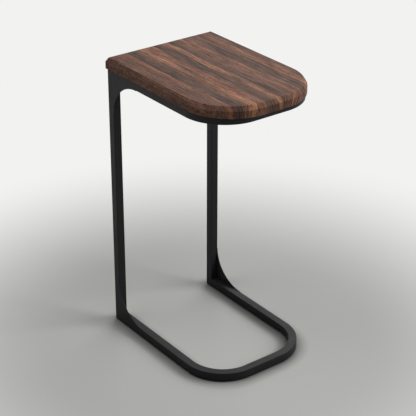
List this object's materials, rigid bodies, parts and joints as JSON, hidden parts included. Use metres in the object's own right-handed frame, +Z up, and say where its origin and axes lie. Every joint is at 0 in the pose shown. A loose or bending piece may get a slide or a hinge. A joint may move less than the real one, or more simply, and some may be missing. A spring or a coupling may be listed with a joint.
{
  "type": "c shaped side table",
  "caption": "C-shaped side table with a chamfered D-shaped hardwood top, a black bent steel tube frame with curved corner plates, and screw-in levelling glides.",
  "frame": {"origin": "on the floor, under the middle of the wooden top's outline", "axes": "+Z up; -Y towards the open rounded end; the uprights stand at +Y; X across the table"},
  "size_m": [0.286, 0.402, 0.65],
  "materials": {
    "dark_hardwood": "oiled dark hardwood, edge-glued staves with streaks",
    "black_powder_coat": "matt black powder coat on mild steel",
    "zinc_plated_steel": "bright zinc plating",
    "brass": "turned brass",
    "pale_nylon": "moulded natural nylon",
    "black_nylon": "moulded black nylon"
  },
  "bodies": {
    "frame": {"top_stave_1": "dark_hardwood", "top_stave_2": "dark_hardwood", "top_stave_3": "dark_hardwood", "top_stave_4": "dark_hardwood", "top_stave_5": "dark_hardwood", "top_stave_6": "dark_hardwood", "base_rail": "black_powder_coat", "top_rail": "black_powder_coat", "rear_cross_rail": "black_powder_coat", "left_upright": "black_powder_coat", "right_upright": "black_powder_coat", "lower_left_gusset": "black_powder_coat", "lower_right_gusset": "black_powder_coat", "upper_left_gusset": "black_powder_coat", "upper_right_gusset": "black_powder_coat", "left_front_tab": "black_powder_coat", "left_rear_tab": "black_powder_coat", "right_front_tab": "black_powder_coat", "right_rear_tab": "black_powder_coat", "tab_screws": "zinc_plated_steel", "tab_washers": "zinc_plated_steel", "threaded_inserts": "brass", "front_left_rivet_nut": "zinc_plated_steel", "front_right_rivet_nut": "zinc_plated_steel", "rear_left_tube_plug": "black_nylon", "rear_right_tube_plug": "black_nylon"},
    "front_left_leveller": {"front_left_foot": "pale_nylon", "front_left_stud": "zinc_plated_steel"},
    "front_right_leveller": {"front_right_foot": "pale_nylon", "front_right_stud": "zinc_plated_steel"},
    "rear_left_leveller": {"rear_left_foot": "pale_nylon", "rear_left_stud": "zinc_plated_steel"},
    "rear_right_leveller": {"rear_right_foot": "pale_nylon", "rear_right_stud": "zinc_plated_steel"}
  },
  "joints": [
    {"name": "front_left_level", "type": "slide", "parent": "frame", "child": "front_left_leveller", "axis": [0, 0, -1], "range_m": [0, 0.008]},
    {"name": "front_right_level", "type": "slide", "parent": "frame", "child": "front_right_leveller", "axis": [0, 0, -1], "range_m": [0, 0.008]},
    {"name": "rear_left_level", "type": "slide", "parent": "frame", "child": "rear_left_leveller", "axis": [0, 0, -1], "range_m": [0, 0.008]},
    {"name": "rear_right_level", "type": "slide", "parent": "frame", "child": "rear_right_leveller", "axis": [0, 0, -1], "range_m": [0, 0.008]}
  ]
}
